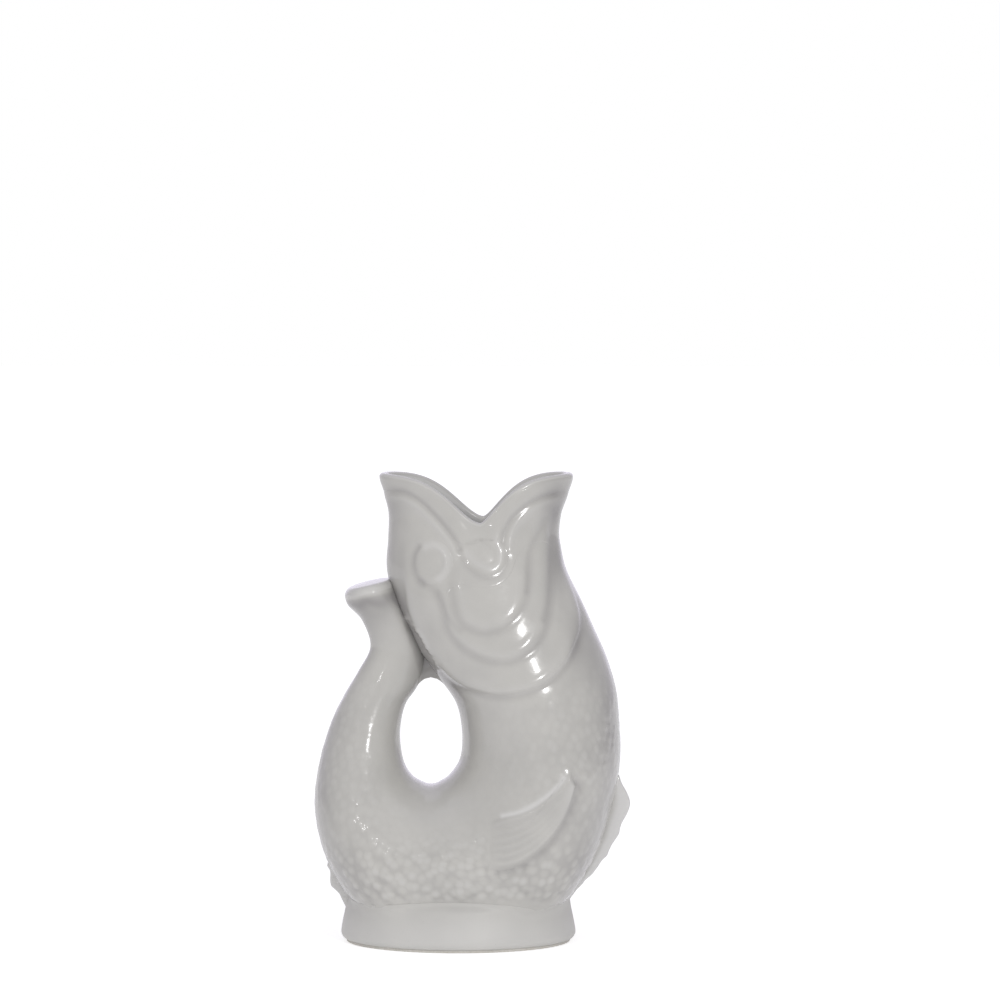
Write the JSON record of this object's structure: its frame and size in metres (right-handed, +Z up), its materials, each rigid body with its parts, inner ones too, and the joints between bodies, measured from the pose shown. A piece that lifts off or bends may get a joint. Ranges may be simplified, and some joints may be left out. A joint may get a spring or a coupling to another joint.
{
  "type": "gurgle jug",
  "caption": "Fish-shaped gurgle jug in pale glazed pottery: open mouth as spout, hollow curled tail as handle, flared foot.",
  "frame": {"origin": "centre of the bounding box on the table plane, under the jug; the foot's own axis stands 7 mm towards the tail", "axes": "+Z up; +X towards the pouring lip; the fish is symmetric about the XZ plane, and its right flank faces -Y"},
  "size_m": [0.1614, 0.109, 0.2398],
  "materials": {
    "glaze": "glossy pale warm grey glaze",
    "bare_clay": "unglazed fired clay"
  },
  "bodies": {
    "root": {"fish_shell": "glaze", "tail_handle": "glaze", "tail_fluke": "glaze", "slip_seam": "glaze", "foot_plinth": "glaze", "foot_rim": "bare_clay", "upper_lip": "glaze", "lower_lip": "glaze", "jaw_lobe_left": "glaze", "jaw_lobe_right": "glaze", "eye_left": "glaze", "eye_right": "glaze", "gill_cover_left": "glaze", "gill_cover_right": "glaze", "pectoral_fin_left": "glaze", "pectoral_fin_right": "glaze", "belly_fin": "glaze", "anal_fin": "glaze"}
  },
  "joints": []
}
